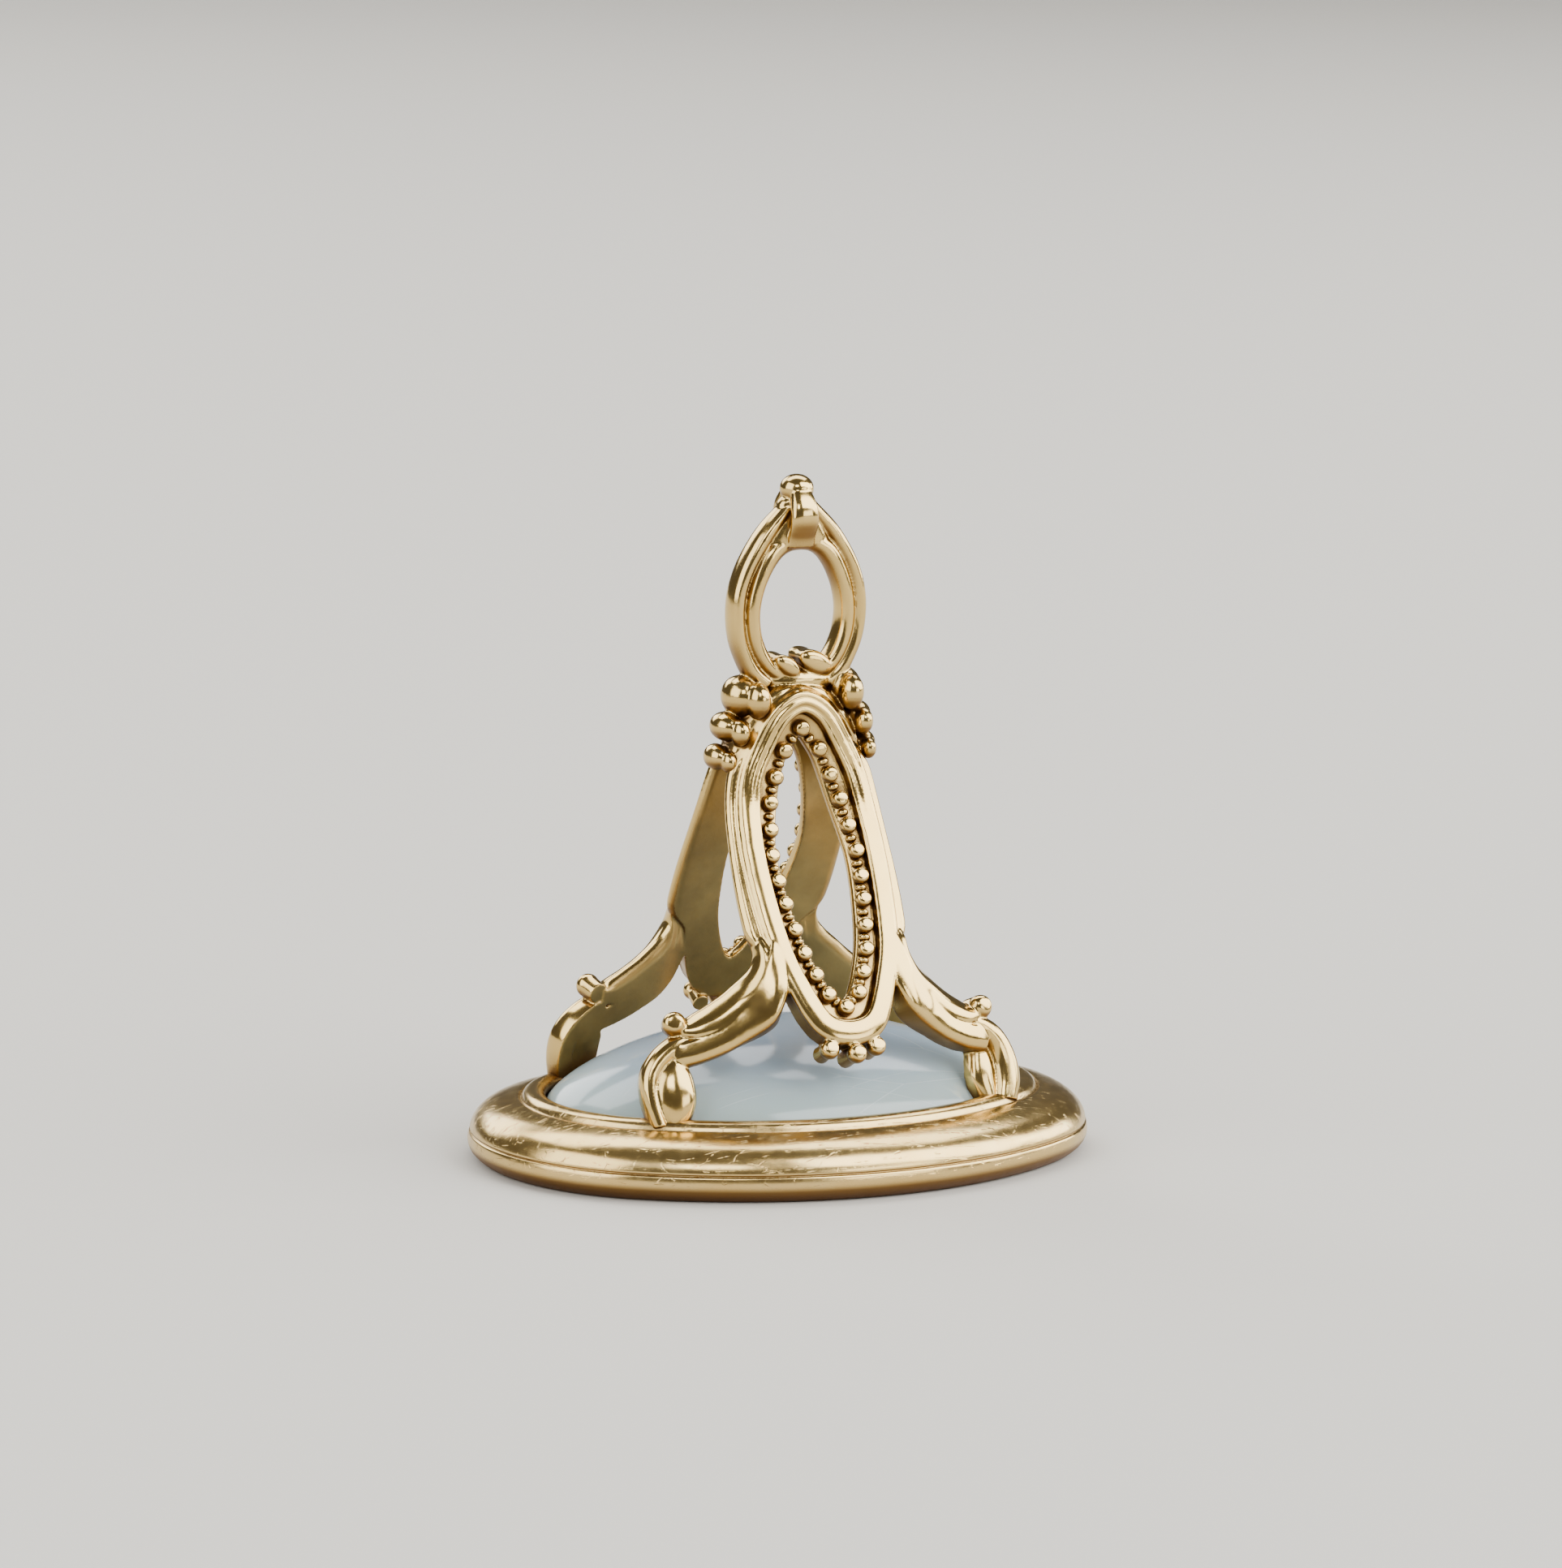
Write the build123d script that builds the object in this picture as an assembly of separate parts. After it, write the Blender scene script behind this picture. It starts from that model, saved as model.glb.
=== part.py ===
from build123d import *
import math
import os

# Fob seal: a domed oval stone in a stepped gold base. Two pierced, beaded plates lean together
# over the stone, and a pointed-oval bail with a ball finial tops them.
# Frame: +Z up, X along the base's long axis, the front plate towards -Y,
# origin at the centre of the base's lower rim. Millimetres.

# Base: a four-centre oval, with the same four centres for every step of the moulding.
# Runs go inwards from the widest line, rises go up from the step before.
base_half_length = 14.0
base_half_width = 10.27
end_arc_share = 0.386       # place of the end arcs' centres along the half length
rim_run = 0.75              # lower rim, in from the widest line
belly_rise = 0.78
seam_rise = 0.46
seam_depth = 0.14
seam_half_width = 0.08
shoulder_run = 2.05
shoulder_rise = 1.48
groove_run = 0.18
groove_drop = 0.08
ring_run = 1.09             # thin ring round the stone
ring_rise = 0.41
lip_drop = 0.19
lip_thickness = 0.36
seat_run = 0.67             # seat for the girdle, out from the lip
seat_slope_drop = 0.5
rub_run = 0.3               # metal rubbed over the stone's lower edge, in from the seat
rub_thickness = 0.12

# Stone
stone_gap = 0.05
dome_rise = 3.04            # apex above the lip
dome_belly = 2.36           # middle of the dome's ellipsoid below the lip
face_recess = 0.09

# Plates
tip_clearance = 3.07        # tip of a panel above the ring round the stone
panel_height = 14.23
panel_half_width = 3.33     # at the front face
panel_spread = 0.45         # the rear part stands out this much all round
panel_thickness = 0.95
face_thickness = 0.71
neck_half_depth = 1.35      # front face of a panel at its top, from the middle plane
lean = 5.67                 # how much further out the front face is at the tip
kink_share = 0.273          # height on the panel where the leg leaves it
crotch_share = 0.160        # height on the panel of the leg's lower edge

# Opening and beads
band_side = 1.33            # panel's edge to the middle of the bead row
band_top = 1.67
band_bottom = 1.47
bead_radius = 0.31
bead_count = 24
bead_depth = 0.38           # bead centres behind the front face
recess_margin = 0.22        # front recess, out from the bead row
ledge_margin = 0.45         # rear wall, in from the bead row
ledge_depth = 0.42          # front of the rear wall, behind the front face
post_radius = 0.37
post_length = 1.3
post_side = 1.1             # side posts from the middle one
side_post_drop = 0.05
middle_post_drop = 0.24

# Legs
foot_run = 6.0              # middle of a foot, in from the end of the base
leg_thickness = 0.9
leg_root = 0.75             # how far the leg runs on inside the panel's band
foot_share = 0.68           # share of the foot's thickness outside the crest of the ring
scroll_radius = 0.55
foot_sink = 0.12

# Neck
saddle_half_depth = 0.85
knob_drop = 0.05            # top level below the panel's top
knob_pitch = 1.35
knob_out = 0.39             # side lobes out from the saddle's edge
knob_radius = 0.95
knob_shrink = 0.77          # each lower level's radius as a share of the one above

# Bail
bail_lift = 0.25            # lower end above the panel's top
bail_height = 7.9
bail_half_width = 3.12
bail_half_depth = 0.66
bail_edge_round = 0.28
bail_foot_wall = 1.05       # lower end to the hole
hole_half_width = 2.1
hole_half_height = 2.3
ball_radius = 0.76
ball_lift = 0.3             # ball's centre above the bail's shoulder
tongue_half_width = 0.7
tongue_proud = 0.42
tongue_length = 2.0
scroll_end_radius = 0.5

# Outer half of a panel, from the top down: share of half width, share of height
PANEL_OUTLINE = [(0.0, 1.0), (0.40, 0.952), (0.70, 0.845), (0.92, 0.718), (1.0, 0.515), (0.925, 0.290),
                 (0.75, 0.155), (0.45, 0.030), (0.0, 0.0)]
# Half of the bead row, from the top down: share of half width, share of height
OPENING_OUTLINE = [(0.0, 1.0), (0.40, 0.925), (0.66, 0.820), (0.93, 0.640), (1.0, 0.520), (0.93, 0.370),
                   (0.74, 0.200), (0.37, 0.050), (0.0, 0.0)]
# Front face of a panel from the side: share of the lean, share of height
PANEL_LEAN = [(0.0, 1.0), (0.005, 0.857), (0.044, 0.718), (0.141, 0.627), (0.291, 0.509), (0.450, 0.397),
              (0.620, 0.279), (0.800, 0.146), (1.0, 0.0)]
# Leg's edges: share of the way from kink to foot, share of the drop from kink to ring
LEG_TOP = [(0.03, 0.0), (0.10, 0.085), (0.21, 0.180), (0.36, 0.290), (0.52, 0.380), (0.70, 0.440)]
LEG_FOOT_OUTER = [(0.86, 0.540), (0.96, 0.585), (1.09, 0.645), (1.19, 0.735), (1.225, 0.830),
                  (1.20, 0.925), (1.14, 1.0)]
LEG_FOOT_INNER = [(0.86, 1.0), (0.80, 0.900), (0.785, 0.790), (0.81, 0.700)]
LEG_LOW = [(0.66, 0.680), (0.47, 0.630), (0.27, 0.550), (0.11, 0.440), (-0.02, 0.340), (-0.09, 0.228)]
SCROLL_PLACE = (0.84, 0.447)
# Saddle between the panels, right half from the top down: share of panel half width, share of height
SADDLE_OUTSIDE = [(0.0, 1.06), (0.42, 1.035), (0.66, 0.99), (0.82, 0.905), (0.93, 0.81), (0.95, 0.765)]
SADDLE_INSIDE = [(0.55, 0.765), (0.43, 0.84), (0.26, 0.91), (0.0, 0.94)]
# Outside of the bail, right half: share of half width, share of height
BAIL_OUTLINE = [(0.52, 0.0), (0.76, 0.06), (0.93, 0.20), (1.0, 0.38), (0.96, 0.52), (0.87, 0.64),
                (0.68, 0.80), (0.36, 0.95), (0.22, 1.0)]

# Places worked out from the sizes above
groove_inset = shoulder_run + groove_run
lip_inset = groove_inset + ring_run
crest_inset = groove_inset + ring_run / 2
seat_inset = lip_inset - seat_run
rub_inset = seat_inset + rub_run
seam_z = belly_rise + seam_rise
shoulder_z = seam_z + shoulder_rise
groove_z = shoulder_z - groove_drop
ring_z = groove_z + ring_rise
lip_z = ring_z - lip_drop
lip_underside_z = lip_z - lip_thickness
seat_top_z = lip_underside_z - seat_slope_drop
seat_floor_z = rub_thickness + rub_run
panel_tip_z = ring_z + tip_clearance
panel_top_z = panel_tip_z + panel_height
kink_z = panel_tip_z + kink_share * panel_height
crotch_z = panel_tip_z + crotch_share * panel_height
opening_top_z = panel_top_z - band_top
opening_bottom_z = panel_tip_z + band_bottom
opening_half_width = panel_half_width - band_side
foot_x = base_half_length - foot_run
bail_foot_z = panel_top_z + bail_lift
bail_shoulder_z = bail_foot_z + bail_height
hole_centre_z = bail_foot_z + bail_foot_wall + hole_half_height
ball_centre_z = bail_shoulder_z + ball_lift
tongue_end_z = bail_shoulder_z - tongue_length

end_centre = base_half_length * end_arc_share
end_radius = base_half_length - end_centre
oval_slack = end_centre - (base_half_length - base_half_width)
side_centre = (end_centre**2 - oval_slack**2) / (2 * oval_slack)
side_radius = base_half_width + side_centre
join_angle = math.degrees(math.atan2(side_centre, end_centre))


def oval_arcs(inset):
    """Centre, radius, start angle and sweep of the four arcs, that far in from the widest line."""
    end_r = end_radius - inset
    side_r = side_radius - inset
    side_sweep = 180 - 2 * join_angle
    return [((end_centre, 0), end_r, -join_angle, 2 * join_angle),
            ((0, -side_centre), side_r, join_angle, side_sweep),
            ((-end_centre, 0), end_r, 180 - join_angle, 2 * join_angle),
            ((0, side_centre), side_r, 180 + join_angle, side_sweep)]


def oval_face(inset, z):
    arcs = []
    for centre, radius, start, sweep in oval_arcs(inset):
        arcs.append(CenterArc((centre[0], centre[1], z), radius, start, sweep))
    return make_face(Curve(arcs))


def oval_half_width(x, inset):
    """Half width of the oval at that x, on whichever arc passes there."""
    side_r = side_radius - inset
    if abs(x) <= side_r * math.cos(math.radians(join_angle)):
        return math.sqrt(side_r**2 - x**2) - side_centre
    return math.sqrt(max((end_radius - inset)**2 - (abs(x) - end_centre)**2, 0))


def moulding(draw_profile):
    """Turn a profile, drawn as (radius, z), round the four arcs of the oval."""
    pieces = []
    for centre, radius, start, sweep in oval_arcs(0):
        middle = Vector(centre[0], centre[1], 0)
        out = Vector(math.cos(math.radians(start)), math.sin(math.radians(start)), 0)
        plane = Plane(origin=middle, x_dir=out, z_dir=out.cross(Vector(0, 0, 1)))
        profile = plane * draw_profile(radius)
        pieces.append(revolve(profile, axis=Axis(middle, (0, 0, 1)), revolution_arc=sweep))
    return pieces[0] + pieces[1:]


def base_profile(radius):
    """Section of the base, with the seat for the stone on its inside."""
    def at(inset, z):
        return (radius - inset, z)

    rim = at(rim_run, 0)
    belly = at(0, belly_rise)
    seam_low = at(seam_depth * 0.4, seam_z - seam_half_width)
    seam = at(seam_depth * 1.4, seam_z)
    seam_high = at(seam_depth * 0.8, seam_z + seam_half_width)
    shoulder = at(shoulder_run, shoulder_z)
    shoulder_bulge = at(shoulder_run * 0.38, seam_z + shoulder_rise * 0.62)
    groove = at(groove_inset, groove_z)
    crest = at(crest_inset, ring_z)
    lip = at(lip_inset, lip_z)
    lines = [Line(at(rub_inset, 0), rim), ThreePointArc(rim, at(rim_run * 0.2, belly_rise * 0.38), belly),
             Polyline(belly, seam_low, seam, seam_high), ThreePointArc(seam_high, shoulder_bulge, shoulder),
             Line(shoulder, groove), ThreePointArc(groove, crest, lip),
             Polyline(lip, at(lip_inset, lip_underside_z), at(seat_inset, seat_top_z),
                      at(seat_inset, seat_floor_z), at(rub_inset, rub_thickness), at(rub_inset, 0))]
    return make_face(Curve(lines))


def girdle_profile(radius):
    """Section of the stone's girdle, a little clear of its seat."""
    core = lip_inset + seat_run
    inset = seat_inset + stone_gap
    slant = rub_run + stone_gap
    top = lip_underside_z - stone_gap
    section = [(core, face_recess), (inset + slant, face_recess), (inset, face_recess + slant),
               (inset, seat_top_z - stone_gap), (lip_inset + stone_gap, top), (core, top)]
    return make_face(Polyline([(radius - a, b) for a, b in section], close=True))


def make_stone():
    rim = lip_inset + stone_gap
    middle_z = lip_z - dome_belly
    rise = dome_rise + dome_belly
    share = math.sqrt(1 - (dome_belly / rise)**2)
    half_x = (base_half_length - rim) / share
    half_y = (base_half_width - rim) / share
    dome = Pos(0, 0, middle_z) * scale(Sphere(1), by=(half_x, half_y, rise))
    core = extrude(oval_face(rim, middle_z), rise * 2) & dome
    floor = extrude(oval_face(rim, face_recess), lip_underside_z - face_recess - stone_gap)
    return core + floor + moulding(girdle_profile)


def share_at(table, height):
    """First column of a table at that share of height, straight between its rows."""
    for (share1, height1), (share2, height2) in zip(table, table[1:]):
        if height >= height2 or (share2, height2) == table[-1]:
            return share1 + (share2 - share1) * (height - height1) / (height2 - height1)


def height_share(z):
    return (z - panel_tip_z) / panel_height


def lean_at(z):
    """Depth of a panel's front face at that height, from the middle plane."""
    return neck_half_depth + lean * share_at(PANEL_LEAN, height_share(z))


def into_panel(z):
    """Unit vector from a panel's front face into the metal, as (y, z)."""
    half_step = 0.03 * panel_height
    slope = (lean_at(z - half_step) - lean_at(z + half_step)) / (2 * half_step)
    length = math.hypot(1, slope)
    return 1 / length, -slope / length


def whole_outline(half, width, low, high):
    """An outline in front view: its right half from the top down, then the left half back up."""
    right = [(w * width, low + h * (high - low)) for w, h in half]
    left = [(-x, z) for x, z in right[-2:0:-1]]
    return right + left


def front_prism(points):
    """Closed curve through points in front view, run through the whole depth."""
    reach = (neck_half_depth + lean) * 2
    return extrude(make_face(Plane.XZ * Spline(*points, periodic=True)), reach, both=True)


def panel_blank(spread):
    """Panel's outline grown by that much, as a prism."""
    return front_prism(whole_outline(PANEL_OUTLINE, panel_half_width + spread, panel_tip_z - spread * 0.4,
                                     panel_top_z + spread * 0.4))


def opening_prism(margin):
    """The opening, grown by that margin from the bead row, as a prism."""
    return front_prism(whole_outline(OPENING_OUTLINE, opening_half_width + margin, opening_bottom_z - margin,
                                     opening_top_z + margin))


def panel_band(front, back):
    """Slab that follows the lean, between two depths behind the front face."""
    sides = []
    for depth in (front, back):
        row = []
        for h in [1.12] + [height for _, height in PANEL_LEAN] + [-0.12]:
            z = panel_tip_z + h * panel_height
            in_y, in_z = into_panel(z)
            row.append((-lean_at(z) + depth * in_y, z + depth * in_z))
        sides.append(Spline(*row))
    outer, inner = sides
    rim = [outer, Line(outer @ 1, inner @ 1), inner, Line(outer @ 0, inner @ 0)]
    return extrude(make_face(Plane.YZ * Curve(rim)), (panel_half_width + panel_spread) * 2, both=True)


def make_panel():
    face = panel_blank(0) & panel_band(0, face_thickness)
    rear = panel_blank(panel_spread) & panel_band(ledge_depth, panel_thickness)
    return (face - opening_prism(recess_margin)) + (rear - opening_prism(-ledge_margin))


def ball(x, y, z, radius, free_x, free_y):
    """Sphere with its seam towards its free side."""
    return Pos(x, y, z) * Rot(0, 0, math.degrees(math.atan2(free_y, free_x))) * Sphere(radius)


def make_beads():
    row = Spline(*whole_outline(OPENING_OUTLINE, opening_half_width, opening_bottom_z, opening_top_z),
                 periodic=True)
    beads = []
    for i in range(bead_count):
        spot = row @ (i / bead_count)
        in_y, in_z = into_panel(spot.Y)
        y = bead_depth * in_y - lean_at(spot.Y)
        beads.append(ball(spot.X, y, spot.Y + bead_depth * in_z, bead_radius, 0, -1))
    return beads


def make_posts():
    """Three bead-ended posts under the panel's tip, square to its face."""
    in_y, in_z = into_panel(panel_tip_z + post_radius)
    posts = []
    for x, drop in ((-post_side, side_post_drop), (0, middle_post_drop), (post_side, side_post_drop)):
        z = panel_tip_z - drop
        y = post_radius * 0.3 - lean_at(z)
        plane = Plane(origin=(x, y, z), z_dir=(0, in_y, in_z))
        rod = plane * Cylinder(post_radius, post_length, align=(Align.CENTER, Align.CENTER, Align.MIN))
        posts += [rod, ball(x, y, z, post_radius, 0, -1)]
    return posts


def make_leg():
    """Right front leg: a flat slab through the kink, the crotch and the foot's place on the ring."""
    kink_x = panel_half_width * share_at(PANEL_OUTLINE, kink_share)
    crotch_x = panel_half_width * share_at(PANEL_OUTLINE, crotch_share)
    foot_y = oval_half_width(foot_x, crest_inset) + leg_thickness * foot_share
    foot_z = ring_z - foot_sink
    kink = Vector(kink_x, -lean_at(kink_z), kink_z)
    crotch = Vector(crotch_x, -lean_at(crotch_z), crotch_z)
    foot = Vector(foot_x, -foot_y, foot_z)
    out = (crotch - kink).cross(foot - kink).normalized()
    plane = Plane(origin=kink, x_dir=(-out.Y, out.X, 0), z_dir=out)

    def at(share):
        x = kink.X + share[0] * (foot.X - kink.X)
        z = kink.Z - share[1] * (kink.Z - foot.Z)
        y = kink.Y - ((x - kink.X) * out.X + (z - kink.Z) * out.Z) / out.Y
        spot = plane.to_local_coords(Vector(x, y, z))
        return (spot.X, spot.Y)

    top = [at(s) for s in LEG_TOP]
    outer = [at(s) for s in LEG_FOOT_OUTER]
    inner = [at(s) for s in LEG_FOOT_INNER]
    low = [at(s) for s in LEG_LOW]
    root_low = (low[-1][0] - leg_root * 0.5, low[-1][1] + leg_root * 0.7)
    root_top = (top[0][0] - leg_root, top[0][1])
    rim = [Spline(*top), Line(top[-1], outer[0]), Spline(*outer), Line(outer[-1], inner[0]), Spline(*inner),
           Line(inner[-1], low[0]), Spline(*low), Polyline(low[-1], root_low, root_top, top[0])]
    slab = extrude(plane * make_face(Curve(rim)), -leg_thickness)
    scroll = extrude(plane * (Pos(*at(SCROLL_PLACE)) * Circle(scroll_radius)), -leg_thickness)
    return slab + scroll


def make_saddle():
    points = whole_outline(SADDLE_OUTSIDE + SADDLE_INSIDE, panel_half_width, panel_tip_z, panel_top_z)
    return extrude(make_face(Plane.XZ * Polyline(points, close=True)), saddle_half_depth, both=True)


def make_knobs():
    """Three falling levels on each side, each a front, a side and a back lobe."""
    knobs = []
    for level in range(3):
        z = panel_top_z - knob_drop - level * knob_pitch
        side_r = knob_radius * knob_shrink**level
        face_r = side_r * 0.9
        side_x = panel_half_width * share_at(SADDLE_OUTSIDE, height_share(z)) + knob_out
        face_x = side_x - side_r * 0.27
        face_y = neck_half_depth * 0.57
        for side in (-1, 1):
            knobs.append(ball(side * side_x, 0, z, side_r, side, 0))
            for y in (-face_y, face_y):
                knobs.append(ball(side * face_x, y, z, face_r, side * face_x, y))
    return knobs


def make_bail():
    right = [(w * bail_half_width, bail_foot_z + h * bail_height) for w, h in BAIL_OUTLINE]
    left = [(-x, z) for x, z in right]
    rim = [Spline(*right), Line(right[-1], left[-1]), Spline(*left), Line(left[0], right[0])]
    body = extrude(Plane.XZ * make_face(Curve(rim)), bail_half_depth, both=True)
    oval = Plane.XZ * (Pos(0, hole_centre_z) * Ellipse(hole_half_width, hole_half_height))
    bail = body - extrude(oval, bail_half_depth * 2, both=True)
    face_edges = [e for e in bail.edges() if abs(e.center().Y) > bail_half_depth * 0.9]
    return fillet(face_edges, bail_edge_round)


def make_finial():
    """Ball on top, and the tongue folded down over the front and back of the bail."""
    proud = bail_half_depth + tongue_proud
    low_ball_z = ball_centre_z - ball_radius * 0.4
    half = [(0, low_ball_z), (bail_half_depth * 0.6, low_ball_z),
            (proud * 0.85, tongue_end_z + 0.75 * tongue_length),
            (proud, tongue_end_z + 0.4 * tongue_length), (proud * 0.95, tongue_end_z), (0, tongue_end_z)]
    points = half + [(-y, z) for y, z in half[-2:0:-1]]
    tongue = extrude(make_face(Plane.YZ * Polyline(points, close=True)), tongue_half_width, both=True)
    return [tongue, Pos(0, 0, ball_centre_z) * Sphere(ball_radius)]


def make_scroll_ends():
    """The two scrolls of the bail end in rounded tips over the neck, front and back."""
    z = hole_centre_z - hole_half_height - scroll_end_radius * 0.4
    x = scroll_end_radius * 1.3
    y = bail_half_depth - scroll_end_radius * 0.25
    ends = []
    for side in (-1, 1):
        for face in (-1, 1):
            ends.append(ball(side * x, face * y, z, scroll_end_radius, side * x, face * y))
    return ends


def make_mount():
    """All the gold, soldered into one solid."""
    crown = make_saddle() + make_bail()
    crown = crown + make_finial()
    crown = crown + make_scroll_ends()
    crown = crown + make_knobs()
    leg = make_leg()
    front = make_panel() + [leg, mirror(leg, about=Plane.YZ)]
    front = front + make_posts() + make_beads()
    upper = crown + front
    upper = upper + mirror(front, about=Plane.XZ)
    return upper + moulding(base_profile)


def main():
    os.makedirs("parts", exist_ok=True)
    export_step(make_mount(), "parts/gold_mount.step")
    export_step(make_stone(), "parts/seal_stone.step")


main()
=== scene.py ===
import math
import bpy
import bmesh
from mathutils import Matrix, Vector


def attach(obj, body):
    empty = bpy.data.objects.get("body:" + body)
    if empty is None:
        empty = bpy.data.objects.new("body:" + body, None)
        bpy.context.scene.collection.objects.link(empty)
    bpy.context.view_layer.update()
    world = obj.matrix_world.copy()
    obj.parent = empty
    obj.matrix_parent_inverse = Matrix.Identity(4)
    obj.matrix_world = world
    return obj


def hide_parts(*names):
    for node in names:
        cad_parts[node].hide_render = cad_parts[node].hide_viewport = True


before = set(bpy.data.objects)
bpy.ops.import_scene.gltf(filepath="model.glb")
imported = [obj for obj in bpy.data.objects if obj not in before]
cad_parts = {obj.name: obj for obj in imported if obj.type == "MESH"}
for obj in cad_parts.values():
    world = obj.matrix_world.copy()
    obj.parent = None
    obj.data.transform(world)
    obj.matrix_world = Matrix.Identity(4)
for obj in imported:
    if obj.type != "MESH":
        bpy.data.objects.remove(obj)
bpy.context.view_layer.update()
mm = 0.001
print("frame loaded")


# camera, floor and lights

viewpoint = {
    "target": (0, 0, 15.0),    # mm
    "azimuth": -26.70,         # from the front, towards the left
    "elevation": 9.93,
    "roll": 1.475,             # the photograph leans a little to the right
    "distance": 300.0,
    "lens": 160.3,
    "shift": (-0.0045, 0.0157),
}


def placeCamera(v):
    turn, rise = math.radians(v["azimuth"]), math.radians(v["elevation"])
    back = Vector((math.sin(turn) * math.cos(rise), -math.cos(turn) * math.cos(rise), math.sin(rise)))
    camera = bpy.data.objects.new("camera", bpy.data.cameras.new("camera"))
    bpy.context.scene.collection.objects.link(camera)
    camera.data.lens = v["lens"]
    camera.data.sensor_width = 36
    camera.data.shift_x, camera.data.shift_y = v["shift"]
    camera.data.clip_start, camera.data.clip_end = 0.01, 20
    camera.rotation_mode = "QUATERNION"
    roll = Matrix.Rotation(math.radians(v["roll"]), 3, "Z").to_quaternion()
    camera.rotation_quaternion = (-back).to_track_quat("-Z", "Y") @ roll
    camera.location = (Vector(v["target"]) + back * v["distance"]) * mm
    bpy.context.scene.camera = camera


studio = {
    "floorSize": 3.0,          # metres
    "aim": (0, 0, 0.012),      # where the soft boxes point
    "world": "#6A655C",        # dim room round the soft boxes
    "worldStrength": 0.9,
    # name, place (x, y, z) in metres, width, height, watts, turn about its own axis
    "boxes": [("softBoxRight", (0.62, -0.52, 0.58), 1.30, 0.62, 18.5, -32),
              ("softBoxFarRight", (0.92, 0.05, 0.20), 0.44, 0.30, 3.0, 0),
              ("softBoxFront", (-0.32, -0.74, 0.60), 0.34, 0.26, 2.0, 0),
              ("softBoxLow", (0.42, -0.82, 0.17), 0.50, 0.24, 1.7, 0),
              ("softBoxLeft", (-0.78, -0.14, 0.40), 0.80, 0.75, 8.0, 0),
              ("softBoxRear", (-0.18, 0.86, 0.44), 0.50, 0.40, 3.4, 0),
              ("softBoxTop", (0.14, 0.40, 0.88), 1.35, 0.50, 11.7, 0)],
}


def softBox(name, place, width, height, watts, turn):
    lamp = bpy.data.lights.new(name, "AREA")
    lamp.shape = "RECTANGLE"
    lamp.size, lamp.size_y = width, height
    lamp.energy = watts
    light = bpy.data.objects.new(name, lamp)
    light.location = place
    light.rotation_mode = "QUATERNION"
    towards = Vector(studio["aim"]) - Vector(place)
    spin = Matrix.Rotation(math.radians(turn), 3, "Z").to_quaternion()
    light.rotation_quaternion = towards.to_track_quat("-Z", "Y") @ spin
    bpy.context.scene.collection.objects.link(light)


# small helpers

def hexColour(text):
    channels = [int(text[i:i + 2], 16) / 255 for i in (1, 3, 5)]
    return tuple(c / 12.92 if c <= 0.04045 else ((c + 0.055) / 1.055) ** 2.4 for c in channels) + (1.0,)


def addNode(material, kind, settings=None, inputs=None):
    # one node with its settings; a value that is a socket is linked, any other is set
    node = material.node_tree.nodes.new(kind)
    for key, value in (settings or {}).items():
        setattr(node, key, value)
    for key, value in (inputs or {}).items():
        if isinstance(value, bpy.types.NodeSocket):
            material.node_tree.links.new(value, node.inputs[key])
        else:
            node.inputs[key].default_value = value
    return node


def newMaterial(name):
    material = bpy.data.materials.new(name)
    material.use_nodes = True
    material.node_tree.nodes.clear()
    return material


def glide(points, share, closed=False):
    # place at that share of a smooth line through the points, each a row of numbers
    spans = len(points) if closed else len(points) - 1
    at = share * spans
    i = min(int(at), spans - 1)
    f = at - i
    if closed:
        a, b, c, d = (points[(i + k) % spans] for k in (-1, 0, 1, 2))
    else:
        a, b, c, d = (points[min(max(i + k, 0), spans)] for k in (-1, 0, 1, 2))
    return [0.5 * (2 * q + (r - p) * f + (2 * p - 5 * q + 4 * r - s) * f * f + (3 * q - p - 3 * r + s) * f ** 3)
            for p, q, r, s in zip(a, b, c, d)]


def finishPiece(bm, name, materials, merge=0.002, recalc=True):
    # millimetre mesh to a finished object in metres, riding on the only body
    bmesh.ops.remove_doubles(bm, verts=bm.verts, dist=merge)
    if recalc:
        bmesh.ops.recalc_face_normals(bm, faces=bm.faces)
    bmesh.ops.scale(bm, vec=(mm, mm, mm), verts=bm.verts)
    for face in bm.faces:
        face.smooth = True
    mesh = bpy.data.meshes.new(name)
    bm.to_mesh(mesh)
    bm.free()
    piece = bpy.data.objects.new(name, mesh)
    bpy.context.scene.collection.objects.link(piece)
    for material in materials:
        mesh.materials.append(material)
    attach(piece, "root")
    return piece


# materials

def hairLines(material, place, size, stretch, patches, most, width=0.016 * mm):
    # long fine scratches: edges of stretched cells laid in two directions, seen only in some patches
    near = []
    for turn in (0.5, 2.3):      # radians
        laid = addNode(material, "ShaderNodeMapping", None,
                       {"Vector": place, "Rotation": (0.15, 0.1, turn), "Scale": (stretch, 1, 1)})
        cells = addNode(material, "ShaderNodeTexVoronoi", {"feature": "DISTANCE_TO_EDGE"},
                        {"Vector": laid.outputs["Vector"], "Scale": 1 / size})
        near.append(cells.outputs["Distance"])
    nearest = addNode(material, "ShaderNodeMath", {"operation": "MINIMUM"}, {0: near[0], 1: near[1]})
    lines = addNode(material, "ShaderNodeMapRange", None,
                    {"Value": nearest.outputs[0], "From Max": width / size, "To Min": 1.0, "To Max": 0.0})
    shown = addNode(material, "ShaderNodeMapRange", None,
                    {"Value": patches, "From Min": 0.50, "From Max": 0.62, "To Max": most})
    return addNode(material, "ShaderNodeMath", {"operation": "MULTIPLY"},
                   {0: lines.outputs["Result"], 1: shown.outputs["Result"]}).outputs[0]


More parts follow.
